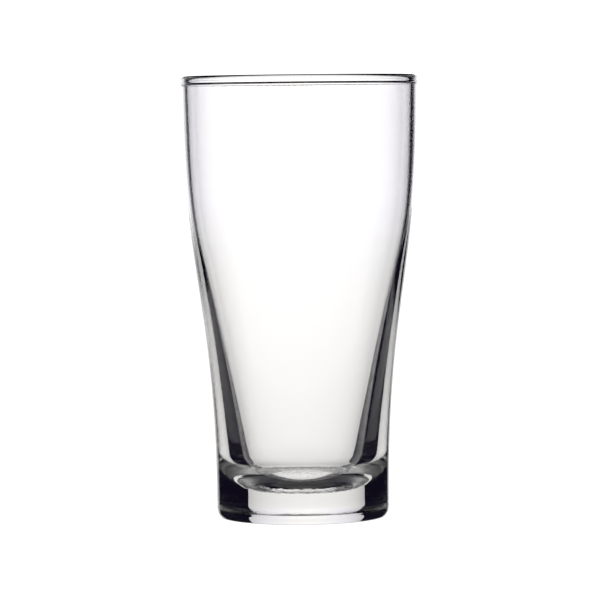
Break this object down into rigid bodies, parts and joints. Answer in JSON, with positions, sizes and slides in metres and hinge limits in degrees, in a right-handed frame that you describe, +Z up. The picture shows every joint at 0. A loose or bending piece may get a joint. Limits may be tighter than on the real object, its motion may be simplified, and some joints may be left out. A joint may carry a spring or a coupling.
{
  "type": "pint glass",
  "caption": "Conical clear beer glass with a rounded rim bead, an S-curved wall that thickens downwards, a rounded cavity bottom and a thick solid base.",
  "frame": {"origin": "centre of the ring that the glass stands on", "axes": "+Z points up along the glass's axis, out of the mouth"},
  "size_m": [0.0892, 0.0892, 0.166],
  "materials": {
    "clear_glass": "clear, fire-polished"
  },
  "bodies": {
    "root": {"glass": "clear_glass"}
  },
  "joints": []
}
